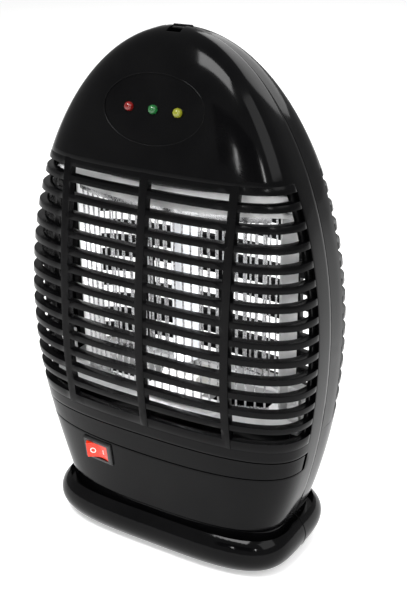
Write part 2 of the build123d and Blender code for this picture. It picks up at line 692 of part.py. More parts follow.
def hanging_tab():
    """Fold-away tab with an eye, on a pivot at the crown."""
    plane = tab_plane()
    outline = plane * Pos(TAB_LENGTH / 2, 0) * Rectangle(TAB_LENGTH, TAB_WIDTH)
    blade = extrude(outline, amount=TAB_THICK / 2, both=True)
    uprights = blade.edges().filter_by(Axis((0, 0, 0), plane.z_dir))
    corners = [edge for edge in uprights if plane.to_local_coords(edge.center()).X > 1]
    blade = fillet(corners, TAB_CORNER)
    eye = plane * Pos(TAB_LENGTH - EYE_INSET, 0) * Circle(EYE_RADIUS)
    blade -= extrude(eye, amount=TAB_THICK, both=True)
    half = TAB_WIDTH / 2
    tab = blade + rod((-half, KNUCKLE_Y, KNUCKLE_Z), (half, KNUCKLE_Y, KNUCKLE_Z), KNUCKLE_RADIUS)
    return tab + rod((-PIVOT_HALF, KNUCKLE_Y, KNUCKLE_Z), (PIVOT_HALF, KNUCKLE_Y, KNUCKLE_Z), PIVOT_RADIUS)


def write(name, shape):
    """One STEP file per piece."""
    export_step(shape, f"parts/{name}.step")


os.makedirs("parts", exist_ok=True)
write("front_shell", front_shell())
write("rear_shell", rear_shell())
write("front_grille", grille(FRONT))
write("rear_grille", grille(REAR))
write("base_front", base_half(FRONT))
write("base_rear", base_half(REAR))
write("base_plate", base_plate())
write("partition", partition())
write("insect_tray", insect_tray())
write("switch_body", switch_body())
write("rocker", rocker())
write("switch_terminals", switch_terminals())
for colour, place in (("red", -1), ("green", 0), ("yellow", 1)):
    write(f"led_{colour}", led(place))
write("led_board", led_board())
write("front_grid", wire_grid(FRONT))
write("rear_grid", wire_grid(REAR))
write("cage_floor", cage_floor())
write("cage_roof", cage_roof())
write("cheek_left", cheek(-1))
write("cheek_right", cheek(1))
write("cage_screws", cage_screws())
write("lamp_tube", lamp_tube())
for word, at_top in (("lower", False), ("upper", True)):
    write(f"lamp_cap_{word}", lamp_cap(at_top))
    write(f"lamp_holder_{word}", lamp_holder(at_top))
write("lamp_bracket", lamp_bracket())
write("shell_screws", shell_screws())
for number, (sx, sy) in enumerate(((-1, -1), (1, -1), (-1, 1), (1, 1)), 1):
    write(f"foot_{number}", foot(sx, sy))
write("circuit_board", circuit_board())
write("transformer", transformer())
write("capacitors", capacitors())
write("cord_inlet", cord_inlet())
write("hanging_tab", hanging_tab())
print("rocker pivot", rocker_axis_plane().origin, rocker_axis_plane().z_dir)
print("hanging tab", tab_plane().origin, tab_plane().x_dir)
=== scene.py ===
from math import asin, atan2, copysign, cos, pi, radians, sin, sqrt

import bpy
from mathutils import Matrix, Vector


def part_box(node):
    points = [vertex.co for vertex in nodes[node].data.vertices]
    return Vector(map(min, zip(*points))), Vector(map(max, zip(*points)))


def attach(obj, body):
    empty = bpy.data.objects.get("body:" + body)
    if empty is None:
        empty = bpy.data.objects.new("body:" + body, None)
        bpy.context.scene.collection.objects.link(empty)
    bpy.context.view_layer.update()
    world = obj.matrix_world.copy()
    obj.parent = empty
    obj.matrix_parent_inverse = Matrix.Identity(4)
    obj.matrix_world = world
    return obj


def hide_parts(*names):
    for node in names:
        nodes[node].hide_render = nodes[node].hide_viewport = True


# Electric bug zapper. Metres; the front faces -Y and +X is the right-hand side from the front.

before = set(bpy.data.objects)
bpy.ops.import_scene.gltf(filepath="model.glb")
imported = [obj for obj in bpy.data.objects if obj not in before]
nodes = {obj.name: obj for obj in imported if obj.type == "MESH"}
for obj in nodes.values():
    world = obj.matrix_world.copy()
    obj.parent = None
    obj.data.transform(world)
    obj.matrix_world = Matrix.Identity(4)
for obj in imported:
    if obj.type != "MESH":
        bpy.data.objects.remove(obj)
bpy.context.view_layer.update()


# ---------------------------------------------------------------- finishes

NOISE_LOW = 0.3
NOISE_HIGH = 0.7
MOTTLE_SCALE = 38.0
GLOSS_SCALE = 55.0


class Finish:
    """A material under construction: its nodes, links and main shader."""

    def __init__(self, name):
        self.material = bpy.data.materials.new(name)
        self.material.use_nodes = True
        self.tree = self.material.node_tree
        self.shader = self.tree.nodes["Principled BSDF"]
        self.place = self.tree.nodes.new("ShaderNodeTexCoord").outputs["Object"]

    def set(self, **values):
        for key, value in values.items():
            self.shader.inputs[key.replace("_", " ")].default_value = value

    def add(self, kind, **inputs):
        node = self.tree.nodes.new(kind)
        for key, value in inputs.items():
            node.inputs[key.replace("_", " ")].default_value = value
        return node

    def link(self, source, target):
        self.tree.links.new(source, target)

    def noise(self, scale, detail=3.0, roughness=0.5):
        node = self.add("ShaderNodeTexNoise", Scale=scale, Detail=detail, Roughness=roughness)
        self.link(self.place, node.inputs["Vector"])
        return node.outputs["Fac"]

    def tint(self, source, dark, light):
        """Colour that goes from dark to light with a noise."""
        node = self.tree.nodes.new("ShaderNodeValToRGB")
        first, last = node.color_ramp.elements
        first.position, last.position = NOISE_LOW, NOISE_HIGH
        first.color, last.color = (*dark, 1.0), (*light, 1.0)
        self.link(source, node.inputs["Fac"])
        self.link(node.outputs["Color"], self.shader.inputs["Base Color"])

    def gloss(self, source, smooth, rough):
        """Roughness that goes from smooth to rough with a noise."""
        span = {"From_Min": NOISE_LOW, "From_Max": NOISE_HIGH, "To_Min": smooth, "To_Max": rough}
        node = self.add("ShaderNodeMapRange", **span)
        self.link(source, node.inputs["Value"])
        self.link(node.outputs["Result"], self.shader.inputs["Roughness"])

    def grain(self, source, strength, depth):
        """Fine relief of the skin."""
        node = self.add("ShaderNodeBump", Strength=strength, Distance=depth)
        self.link(source, node.inputs["Height"])
        self.link(node.outputs["Normal"], self.shader.inputs["Normal"])

    def glow(self, colour, strength):
        self.set(Emission_Color=(*colour, 1.0), Emission_Strength=strength)


def moulded_plastic(name, dark, light, gloss, grain, shine=0.5, coat=0.0):
    """Moulded plastic. The gloss is (smooth, rough) and the grain is (scale, depth, strength)."""
    scale, depth, strength = grain
    finish = Finish(name)
    finish.tint(finish.noise(MOTTLE_SCALE), dark, light)
    finish.gloss(finish.noise(GLOSS_SCALE, detail=5.0, roughness=0.6), *gloss)
    finish.grain(finish.noise(scale, detail=2.0), strength, depth)
    finish.set(Coat_Weight=coat, Coat_Roughness=0.04, IOR=1.5, Specular_IOR_Level=shine)
    return finish


def plain_metal(name, dark, light, gloss, scale, metallic=1.0):
    """Rolled or drawn metal with clouded roughness."""
    finish = Finish(name)
    finish.tint(finish.noise(scale), dark, light)
    finish.gloss(finish.noise(scale * 3, detail=4.0), *gloss)
    finish.grain(finish.noise(scale * 12, detail=2.0), strength=0.15, depth=0.00004)
    finish.set(Metallic=metallic)
    return finish


def lamp_lens(name, dark, light, glow, strength):
    """Tinted cast resin of an indicator lamp, lit a little from inside."""
    finish = Finish(name)
    finish.tint(finish.noise(900.0), dark, light)
    finish.gloss(finish.noise(600.0), smooth=0.05, rough=0.14)
    finish.grain(finish.noise(700.0), strength=0.04, depth=0.00002)
    finish.set(Coat_Weight=0.3)
    finish.glow(glow, strength)
    return finish


def grey(value):
    """Colour without a hue."""
    return (value, value, value)


# Blacks of the housing, from the polished shells to the dull inside.
deep_black = (0.0012, 0.0012, 0.0014)
gloss_black = moulded_plastic(
    "gloss_black", deep_black, (0.0026, 0.0026, 0.0028),
    gloss=(0.08, 0.14), grain=(260.0, 0.00001, 0.08), shine=0.095,
)
base_black = moulded_plastic(
    "base_black", deep_black, (0.0026, 0.0026, 0.0028),
    gloss=(0.07, 0.12), grain=(320.0, 0.00001, 0.1), shine=0.10,
)
bar_black = moulded_plastic(
    "bar_black", deep_black, (0.0028, 0.0028, 0.003),
    gloss=(0.17, 0.26), grain=(1500.0, 0.00002, 0.12), shine=0.09,
)
dull_black = moulded_plastic(
    "dull_black", grey(0.006), grey(0.012),
    gloss=(0.42, 0.55), grain=(1600.0, 0.00006, 0.2), shine=0.25,
)
# Painted shade: a dull near-black strip laid over the base's joint stands for the shadow in its fine gap.
joint_gap_shade = moulded_plastic(
    "joint_gap_shade", grey(0.001), grey(0.002),
    gloss=(0.8, 0.95), grain=(1500.0, 0.00001, 0.2), shine=0.1,
)
switch_black = moulded_plastic(
    "switch_black", grey(0.009), grey(0.016),
    gloss=(0.28, 0.4), grain=(1800.0, 0.00005, 0.2),
)
rubber_black = moulded_plastic(
    "rubber_black", grey(0.012), grey(0.022),
    gloss=(0.65, 0.8), grain=(2200.0, 0.0001, 0.2),
)

# Other mouldings.
rocker_red = moulded_plastic(
    "rocker_red", (0.52, 0.014, 0.003), (0.66, 0.024, 0.005),
    gloss=(0.18, 0.28), grain=(1200.0, 0.00003, 0.2), coat=0.1,
)
# The rocker is no lamp: this faint glow is painted light that brightens its red.
rocker_red.glow((1.0, 0.06, 0.01), 0.2)
mark_white = moulded_plastic(
    "mark_white", (0.80, 0.74, 0.66), (0.90, 0.85, 0.78),
    gloss=(0.35, 0.5), grain=(900.0, 0.00002, 0.2),
)
holder_white = moulded_plastic(
    "holder_white", (0.68, 0.67, 0.63), (0.78, 0.77, 0.74),
    gloss=(0.35, 0.5), grain=(1400.0, 0.00005, 0.2),
)
board_green = moulded_plastic(
    "board_green", (0.010, 0.075, 0.028), (0.020, 0.13, 0.05),
    gloss=(0.3, 0.45), grain=(900.0, 0.00004, 0.2),
)
capacitor_blue = moulded_plastic(
    "capacitor_blue", (0.012, 0.035, 0.16), (0.02, 0.06, 0.24),
    gloss=(0.25, 0.4), grain=(800.0, 0.00004, 0.2),
)

# The lamp tube's white coating shows through its glass and glows.
lamp_glass = moulded_plastic(
    "lamp_glass", (0.74, 0.76, 0.80), (0.84, 0.86, 0.88),
    gloss=(0.12, 0.2), grain=(500.0, 0.00002, 0.2), coat=0.6,
)
lamp_glass.glow((0.92, 0.95, 1.0), 0.35)

# Metals.
sheet_metal = plain_metal("sheet_metal", grey(0.80), grey(0.90), (0.3, 0.42), 90.0, 0.3)
# Painted highlight: near-white rings stand for the gleam on the chamber's screw heads.
screw_highlight = plain_metal("screw_highlight", grey(0.80), grey(0.92), (0.3, 0.4), 260.0, 0.4)
grid_steel = plain_metal("grid_steel", (0.55, 0.55, 0.56), (0.70, 0.70, 0.71), (0.2, 0.32), 220.0)
screw_steel = plain_metal("screw_steel", (0.52, 0.52, 0.53), grey(0.68), (0.22, 0.34), 300.0)
cap_metal = plain_metal("cap_metal", (0.66, 0.66, 0.67), grey(0.78), (0.2, 0.3), 260.0)
core_iron = plain_metal("core_iron", (0.16, 0.15, 0.14), (0.25, 0.24, 0.22), (0.4, 0.55), 240.0)
brass = plain_metal("brass", (0.72, 0.52, 0.22), (0.82, 0.62, 0.30), (0.2, 0.32), 280.0)

# Indicator lamps.
lens_red = lamp_lens("lens_red", (0.10, 0.003, 0.002), (0.15, 0.005, 0.004), (1.0, 0.03, 0.02), 0.04)
lens_green = lamp_lens("lens_green", (0.006, 0.065, 0.016), (0.012, 0.10, 0.026), (0.02, 0.9, 0.12), 0.03)
lens_yellow = lamp_lens("lens_yellow", (0.14, 0.15, 0.010), (0.20, 0.21, 0.015), (0.9, 0.85, 0.03), 0.05)

NODE_FINISHES = {
    "front_shell": gloss_black,
    "rear_shell": gloss_black,
    "insect_tray": gloss_black,
    "hanging_tab": gloss_black,
    "front_grille": bar_black,
    "rear_grille": bar_black,
    "base_front": base_black,
    "base_rear": base_black,
    "base_plate": dull_black,
    "partition": dull_black,
    "switch_body": switch_black,
    "rocker": rocker_red,
    "switch_terminals": brass,
    "led_red": lens_red,
    "led_green": lens_green,
    "led_yellow": lens_yellow,
    "led_board": board_green,
    "circuit_board": board_green,
    "front_grid": grid_steel,
    "rear_grid": grid_steel,
    "cage_floor": sheet_metal,
    "cage_roof": sheet_metal,
    "cheek_left": sheet_metal,
    "cheek_right": sheet_metal,
    "lamp_bracket": sheet_metal,
    "cage_screws": screw_steel,
    "shell_screws": screw_steel,
    "lamp_tube": lamp_glass,
    "lamp_cap_lower": cap_metal,
    "lamp_cap_upper": cap_metal,
    "lamp_holder_lower": holder_white,
    "lamp_holder_upper": holder_white,
    "foot_1": rubber_black,
    "foot_2": rubber_black,
    "foot_3": rubber_black,
    "foot_4": rubber_black,
    "transformer": core_iron,
    "capacitors": capacitor_blue,
    "cord_inlet": rubber_black,
}


def coat(piece, finish):
    """One finish all over a piece."""
    piece.data.materials.clear()
    piece.data.materials.append(finish.material)


# ---------------------------------------------------------------- shape of the body

# The front of the egg-shaped body: height, half width and depth, and how square its section is.
HEIGHT = 0.305
WIDEST_HALF = 0.0932
WIDEST_Z = 0.143
LOWER_SPAN = 0.193
DEEPEST = 0.0486
DEEPEST_Z = 0.126
BOTTOM_DEPTH = 0.039
WELL_FLOOR = 0.020
DEPTH_POWER = 1.8
FLAT_X = 2.68
FLAT_Y = 4.3

# Front shell: its wall and its openings, which the grille and the tray's front edge fill.
WALL = 0.0022
SEAM = 0.0006
BODY_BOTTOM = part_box("front_shell")[0][2]
HOLLOW_TOP = 0.3012
WINDOW_LOW, WINDOW_HIGH = (corner[2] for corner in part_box("front_grille"))
WINDOW_SIDE = 0.0147
TRAY_GAP = 0.0008
TRAY_LOW, TRAY_HIGH = (corner[2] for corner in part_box("insect_tray"))
TRAY_SLOT_TOP = TRAY_HIGH + TRAY_GAP
TRAY_SLOT_SIDE = 0.0133
TRAY_ARCH_MIDDLE = TRAY_LOW - TRAY_GAP
TRAY_ARCH_RISE = 0.004
TRAY_ARCH_REACH = 0.1


def half_width(z):
    """Half width of the body at height z."""
    span = HEIGHT - WIDEST_Z if z > WIDEST_Z else LOWER_SPAN
    return WIDEST_HALF * sqrt(max(1 - ((z - WIDEST_Z) / span) ** 2, 0.0))


def depth(z):
    """Depth of the body's front, from the parting plane, at height z."""
    if z > DEEPEST_Z:
        rise = (z - DEEPEST_Z) / (HEIGHT - DEEPEST_Z)
        return DEEPEST * sqrt(max(1 - rise**DEPTH_POWER, 0.0))
    rise = max(z - WELL_FLOOR, 0.0) / (DEEPEST_Z - WELL_FLOOR)
    return BOTTOM_DEPTH + (DEEPEST - BOTTOM_DEPTH) * rise * rise * (3 - 2 * rise)


def skin_point(angle, z, inset=0.0):
    """Point of the front's skin at an angle round its section, from the right-hand side."""
    across, out = cos(angle), max(sin(angle), 0.0)
    x = (half_width(z) - inset) * copysign(abs(across) ** (2 / FLAT_X), across)
    return Vector((x, -(depth(z) - inset) * out ** (2 / FLAT_Y), z))


def inner_point(point):
    """Point of the inner skin behind a point of the outer skin."""
    out = (abs(point.y) / depth(point.z)) ** (FLAT_Y / 2)
    across = (abs(point.x) / half_width(point.z)) ** (FLAT_X / 2)
    z = point.z
    if z > WINDOW_HIGH:
        z = WINDOW_HIGH + (z - WINDOW_HIGH) * (HOLLOW_TOP - WINDOW_HIGH) / (HEIGHT - WINDOW_HIGH)
    return skin_point(atan2(out, copysign(across, point.x)), z, WALL)


def angle_off_seam(reach, z):
    """Angle of the skin's point that lies a distance from the parting plane."""
    return asin(min(reach / depth(z), 1.0) ** (FLAT_Y / 2))


def face_y(x, z):
    """Y of the skin at x and z."""
    share = min(abs(x) / half_width(z), 1.0)
    return -depth(z) * (1 - share**FLAT_X) ** (1 / FLAT_Y)


def face_seat(x, z, step):
    """Frame on the front's skin: right, up and out of the face, from its slope over a step."""
    slope_x = (face_y(x + step, z) - face_y(x - step, z)) / (2 * step)
    slope_z = (face_y(x, z + step) - face_y(x, z - step)) / (2 * step)
    out = Vector((slope_x, -1, slope_z)).normalized()
    right = Vector((1, slope_x, 0))
    right = (right - out * right.dot(out)).normalized()
    turned = Matrix((right, out.cross(right), out)).transposed().to_4x4()
    return Matrix.Translation((x, face_y(x, z), z)) @ turned


def arch_z(x):
    """Height of the arched lower edge of the tray's slot."""
    return TRAY_ARCH_MIDDLE + TRAY_ARCH_RISE * (x / TRAY_ARCH_REACH) ** 2


SWITCH_SEAT = face_seat(x=-0.038, z=0.0566, step=0.005)
LAMP_SEAT = face_seat(x=0.0, z=0.2664, step=0.004)


# ---------------------------------------------------------------- work on a mesh

EDGE_ANGLE = radians(40)
SMOOTH_ANGLE = radians(35)
TUBE_MERGE = 0.00001


def pick(piece=None):
    """Selects one piece alone and makes it active, or selects nothing."""
    for item in list(bpy.context.selected_objects):
        item.select_set(False)
    if piece is not None:
        piece.select_set(True)
        bpy.context.view_layer.objects.active = piece


def finish_piece(piece, finish, body, replaced=()):
    """Coats a piece, hangs it on its body and hides the nodes it stands for."""
    coat(piece, finish)
    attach(piece, body)
    if replaced:
        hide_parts(*replaced)


def settle(piece):
    """Puts a piece's place into its mesh."""
    pick(piece)
    bpy.ops.object.transform_apply(location=True, rotation=True, scale=True)


def use(piece, kind, **settings):
    """Adds a modifier and applies it."""
    pick(piece)
    modifier = piece.modifiers.new(kind.lower(), kind)
    for key, value in settings.items():
        setattr(modifier, key, value)
    bpy.ops.object.modifier_apply(modifier=modifier.name)


def soften(piece, width, segments=2, angle=EDGE_ANGLE):
    """Rounds the sharp edges and smooths the shading between them."""
    use(piece, "BEVEL", width=width, segments=segments, limit_method="ANGLE", angle_limit=angle)
    bpy.ops.object.shade_smooth_by_angle(angle=SMOOTH_ANGLE)


def net(name, columns, rows, place):
    """Grid of points laid out by place(column, row)."""
    pick()
    bpy.ops.mesh.primitive_grid_add(x_subdivisions=columns - 1, y_subdivisions=rows - 1, size=2)
    piece = bpy.context.object
    piece.name = name
    for point in piece.data.vertices:
        column = round((point.co.x + 1) / 2 * (columns - 1))
        row = round((point.co.y + 1) / 2 * (rows - 1))
        point.co = place(column, row)
    return piece


def drop_faces(piece, unwanted):
    """Deletes the faces that the test picks."""
    pick(piece)
    bpy.ops.object.mode_set(mode="EDIT")
    bpy.ops.mesh.select_mode(type="FACE")
    bpy.ops.mesh.select_all(action="DESELECT")
    bpy.ops.object.mode_set(mode="OBJECT")
    for face in piece.data.polygons:
        face.select = unwanted(face)
    bpy.ops.object.mode_set(mode="EDIT")
    bpy.ops.mesh.delete(type="FACE")
    bpy.ops.object.mode_set(mode="OBJECT")


def turn_out(piece):
    """Makes an open front skin's faces point forwards."""
    if min(piece.data.polygons, key=lambda face: face.center.y).normal.y < 0:
        return
    pick(piece)
    bpy.ops.object.mode_set(mode="EDIT")
    bpy.ops.mesh.select_all(action="SELECT")
    bpy.ops.mesh.flip_normals()
    bpy.ops.object.mode_set(mode="OBJECT")


def close_tube(piece):
    """Merges the open ends of a rolled net, turns its faces out and smooths it."""
    use(piece, "WELD", merge_threshold=TUBE_MERGE)
    bpy.ops.object.mode_set(mode="EDIT")
    bpy.ops.mesh.select_all(action="SELECT")
    bpy.ops.mesh.normals_make_consistent(inside=False)
    bpy.ops.object.mode_set(mode="OBJECT")
    bpy.ops.object.shade_smooth()


def block(seat, low, high):
    """Box between two corners of a frame."""
    pick()
    bpy.ops.mesh.primitive_cube_add(size=1)
    piece = bpy.context.object
    middle = (Vector(low) + Vector(high)) / 2
    size = Matrix.Diagonal((*(Vector(high) - Vector(low)), 1.0))
    piece.matrix_world = seat @ Matrix.Translation(middle) @ size
    settle(piece)
    return piece


def oval_plug(seat, long, tall, low, high):
    """Oval plug that stands out of a frame."""
    pick()
    bpy.ops.mesh.primitive_cylinder_add(vertices=96, radius=1, depth=1)
    piece = bpy.context.object
    size = Matrix.Diagonal((long, tall, high - low, 1.0))
    piece.matrix_world = seat @ Matrix.Translation((0, 0, (low + high) / 2)) @ size
    settle(piece)
    return piece


def cut_away(piece, cutter, solver="EXACT"):
    """Boolean cut, after which the cutter is gone."""
    use(piece, "BOOLEAN", operation="DIFFERENCE", object=cutter, solver=solver)
    bpy.data.objects.remove(cutter)


# ---------------------------------------------------------------- front shell

# Columns of the skin: a few beside the seam, then evenly across the face.
RAIL_STEPS = (SEAM, 0.0028, 0.0058, 0.0095, TRAY_SLOT_SIDE, WINDOW_SIDE)
RAIL_SHARE = 0.45
FACE_COLUMNS = 44
COLUMNS = 2 * (len(RAIL_STEPS) - 1 + FACE_COLUMNS) + 1
ARC_SAMPLES = 600

# Rows of the skin, from the bottom edge to the crown.
LIP_SHARES = (0.0, 0.03, 0.12, 0.25, 0.4, 0.55, 0.7, 0.85, 0.96, 1.0)
SLOT_SHARES = (0.5, 1.0)
CROSS_BAR_HEIGHTS = (0.0815, 0.084, 0.0862, WINDOW_LOW)
WINDOW_ROWS = 22
HOOD_ROWS = 40
CROWN_GAP = 0.00002

# Recess of the indicator lamps, hole of the switch and slot of the hanging tab.
OVAL_LONG = 0.031
OVAL_TALL = 0.0185
OVAL_LOW = -0.0016
OVAL_HIGH = 0.02
SWITCH_HOLE_LOW = (-0.0096, -0.0065, -0.02)
SWITCH_HOLE_HIGH = (0.0096, 0.0065, 0.01)
CROWN_SLOT_LOW = (-0.0043, -0.0074, 0.296)
CROWN_SLOT_HIGH = (0.0043, 0.002, HEIGHT + 0.01)
SHELL_EDGE = 0.0003


def even_shares(count):
    """Shares of the front's angle that give columns at even distances along the skin."""
    start = angle_off_seam(WINDOW_SIDE, WIDEST_Z)
    angles = [start + (pi / 2 - start) * n / ARC_SAMPLES for n in range(ARC_SAMPLES + 1)]
    places = [skin_point(angle, WIDEST_Z) for angle in angles]
    run = [0.0]
    for here, there in zip(places, places[1:]):
        run.append(run[-1] + (there - here).length)
    shares, n = [], 0
    for step in range(count + 1):
        while n < ARC_SAMPLES and run[n] < run[-1] * step / count:
            n += 1
        shares.append(n / ARC_SAMPLES)
    return shares


FACE_SHARES = even_shares(FACE_COLUMNS)


def column_angle(column, z):
    """Angle of one of the front skin's columns at height z."""
    if column > COLUMNS // 2:
        return pi - column_angle(COLUMNS - 1 - column, z)
    narrow = min(1.0, RAIL_SHARE * depth(z) / WINDOW_SIDE)
    if column < len(RAIL_STEPS):
        return angle_off_seam(RAIL_STEPS[column] * narrow, z)
    start = angle_off_seam(RAIL_STEPS[-1] * narrow, z)
    return start + (pi / 2 - start) * FACE_SHARES[column - len(RAIL_STEPS) + 1]


def row_heights(x):
    """Heights of the front skin's rows at x."""
    arch = arch_z(x)
    heights = [BODY_BOTTOM + (arch - BODY_BOTTOM) * share for share in LIP_SHARES]
    heights += [arch + (TRAY_SLOT_TOP - arch) * share for share in SLOT_SHARES]
    heights += CROSS_BAR_HEIGHTS
    window = WINDOW_HIGH - WINDOW_LOW
    heights += [WINDOW_LOW + window * n / WINDOW_ROWS for n in range(1, WINDOW_ROWS + 1)]
    hood = HEIGHT - CROWN_GAP - WINDOW_HIGH
    heights += [WINDOW_HIGH + hood * sin(pi / 2 * n / HOOD_ROWS) for n in range(1, HOOD_ROWS + 1)]
    return heights


def in_opening(face):
    """Whether a face of the front skin lies in the window or in the tray's slot."""
    x, y, z = face.center
    window = WINDOW_LOW < z < WINDOW_HIGH and -y > WINDOW_SIDE
    slot = arch_z(x) < z < TRAY_SLOT_TOP and -y > TRAY_SLOT_SIDE
    return window or slot


def front_skin():
    """Hood, side rails, cross-bar and lower front, cut for the lamps, the switch and the tab."""
    slot_angles = [column_angle(column, TRAY_SLOT_TOP) for column in range(COLUMNS)]
    columns = [row_heights(skin_point(angle, TRAY_SLOT_TOP).x) for angle in slot_angles]

    def place(column, row):
        z = columns[column][row]
        return skin_point(column_angle(column, z), z)

    skin = net("front_skin", COLUMNS, len(columns[0]), place)
    drop_faces(skin, in_opening)
    turn_out(skin)
    count = len(skin.data.vertices)
    use(skin, "SOLIDIFY", thickness=WALL, offset=-1.0)
    points = skin.data.vertices
    for number in range(count):
        points[count + number].co = inner_point(points[number].co)
    skin.data.update()
    cut_away(skin, oval_plug(LAMP_SEAT, OVAL_LONG, OVAL_TALL, OVAL_LOW, OVAL_HIGH))
    cut_away(skin, block(SWITCH_SEAT, SWITCH_HOLE_LOW, SWITCH_HOLE_HIGH))
    cut_away(skin, block(Matrix.Identity(4), CROWN_SLOT_LOW, CROWN_SLOT_HIGH), "FAST")
    soften(skin, SHELL_EDGE)
    finish_piece(skin, gloss_black, "housing", ["front_shell"])


# ---------------------------------------------------------------- seams

TONGUE_ROWS = 60
TONGUE_DROP = 0.0012
TONGUE_INSET = 0.0009
TONGUE_WIDTH = 0.003
TONGUE_THICK = 0.0006

# Rounded side of the base, and the dark strip on its fine joint, which is painted shade of the gap.
BASE_HALF_WIDTH = 0.0815
BASE_MIDDLE = 0.014
BASE_RISE = 0.013
BASE_NOSE = 0.012
JOINT_STEPS = 24
JOINT_PROUD = 0.00005
JOINT_WIDTH = 0.0005
JOINT_THICK = 0.0002


def seam_tongue():
    """Tongue of the lap joint, set back in the seam between the two shells."""
    rise = HEIGHT - TONGUE_DROP - BODY_BOTTOM
    heights = [BODY_BOTTOM + rise * sin(pi / 2 * n / TONGUE_ROWS) for n in range(TONGUE_ROWS + 1)]
    path = [(1, z) for z in heights] + [(-1, z) for z in reversed(heights)]

    def place(column, row):
        hand, z = path[row]
        return Vector((hand * max(half_width(z) - TONGUE_INSET, 0.0), (column - 0.5) * TONGUE_WIDTH, z))

    tongue = net("seam_tongue", 2, len(path), place)
    use(tongue, "SOLIDIFY", thickness=TONGUE_THICK, offset=0.0)
    bpy.ops.object.shade_smooth_by_angle(angle=EDGE_ANGLE)
    finish_piece(tongue, dull_black, "housing")


def base_joint_shade(hand, word):
    """Dark strip on one end of the base, where its halves meet: painted shade of the fine gap between them.
    """

    def place(column, row):
        turn = pi * row / JOINT_STEPS - pi / 2
        x = BASE_HALF_WIDTH - BASE_NOSE * (1 - cos(turn)) + JOINT_PROUD
        z = BASE_MIDDLE + (BASE_RISE + JOINT_PROUD) * sin(turn)
        return Vector((hand * x, (column - 0.5) * JOINT_WIDTH, z))

    line = net(f"base_joint_shade_{word}", 2, JOINT_STEPS + 1, place)
    use(line, "SOLIDIFY", thickness=JOINT_THICK, offset=0.0)
    finish_piece(line, joint_gap_shade, "housing")


# ---------------------------------------------------------------- rocker switch

ROCKER_HALF_LENGTH = 0.0073
ROCKER_HALF_WIDTH = 0.0051
ROCKER_THICK = 0.0045
ROCKER_EDGE = 0.0004
ROCKER_TILT = radians(11.0)
PIVOT_DEPTH = 0.0026
CREST_HEIGHT = 0.0034
WING_RISE = 0.0019
WING_REACH = 0.0069
WING_POWER = 1.6

MARK_RISE = 0.00012
MARK_PROUD = 0.00004
RING_PLACE = -0.0036
RING_RADIUS = 0.00145
RING_HALF_WIDTH = 0.00032
RING_STRETCH = 1.1
DASH_PLACE = 0.0034
DASH_HALF_WIDTH = 0.0003
DASH_HALF_LENGTH = 0.0016
RING_STEPS = 36
DASH_STEPS = 8
MARK_ROLLS = 10


def rocker_point(across, up, lift=0.0):
    """Point on the rocker's two-winged face, tipped about its pivot."""
    out = CREST_HEIGHT + WING_RISE * (abs(across) / WING_REACH) ** WING_POWER + lift
    tipped_out = out * cos(ROCKER_TILT) - across * sin(ROCKER_TILT)
    tipped_across = out * sin(ROCKER_TILT) + across * cos(ROCKER_TILT)
    return SWITCH_SEAT @ Vector((tipped_across, up, tipped_out - PIVOT_DEPTH))


def rocker_key():
    """Rocker with two hollowed wings and soft edges."""
    columns, rows = 29, 5

    def place(column, row):
        across = ROCKER_HALF_LENGTH * (2 * column / (columns - 1) - 1)
        return rocker_point(across, ROCKER_HALF_WIDTH * (2 * row / (rows - 1) - 1))

    key = net("rocker_key", columns, rows, place)
    turn_out(key)
    use(key, "SOLIDIFY", thickness=ROCKER_THICK, offset=-1.0)
    soften(key, ROCKER_EDGE, segments=3)
    finish_piece(key, rocker_red, "rocker", ["rocker"])


def rocker_marks():
    """Moulded ring and dash on the rocker's wings."""

    def ring(column, row):
        turn, roll = 2 * pi * column / RING_STEPS, 2 * pi * row / MARK_ROLLS
        radius = RING_RADIUS + RING_HALF_WIDTH * cos(roll)
        across, up = RING_PLACE + radius * cos(turn), radius * RING_STRETCH * sin(turn)
        return rocker_point(across, up, MARK_RISE * sin(roll) + MARK_PROUD)

    def dash(column, row):
        roll = 2 * pi * row / MARK_ROLLS
        up = DASH_HALF_LENGTH * (2 * column / DASH_STEPS - 1)
        return rocker_point(DASH_PLACE + DASH_HALF_WIDTH * cos(roll), up, MARK_RISE * sin(roll) + MARK_PROUD)

    marks = [
        net("mark_ring", RING_STEPS + 1, MARK_ROLLS + 1, ring),
        net("mark_dash", DASH_STEPS + 1, MARK_ROLLS + 1, dash),
    ]
    for mark in marks:
        close_tube(mark)
        finish_piece(mark, mark_white, "rocker")


# ---------------------------------------------------------------- grilles, lamp rim and screw highlight rings

GRILLE_EDGE = 0.0006
GRILLE_EDGE_ANGLE = radians(45)
GRILLE_MERGE = 0.000002
RIM_GAP = 0.0001
RIM_HALF_WIDTH = 0.0003
RIM_RISE = 0.00018
RIM_STEPS = 120
RIM_ROLLS = 8
SCREW_PLACES = ((0.0775, 0.112), (0.073, 0.220))
SCREW_RING_Y = -0.0154
SCREW_RING_RADIUS = 0.0031
SCREW_RING_THICK = 0.0007


def rounded_grille(name, node):
    """Grille with its moulded edges rounded."""
    pick()
    piece = nodes[node].copy()
    piece.data = nodes[node].data.copy()
    for key in list(piece.keys()):
        del piece[key]
    piece.parent = None
    piece.name = name
    bpy.context.scene.collection.objects.link(piece)
    use(piece, "WELD", merge_threshold=GRILLE_MERGE)
    soften(piece, GRILLE_EDGE, angle=GRILLE_EDGE_ANGLE)
    finish_piece(piece, bar_black, "housing", [node])


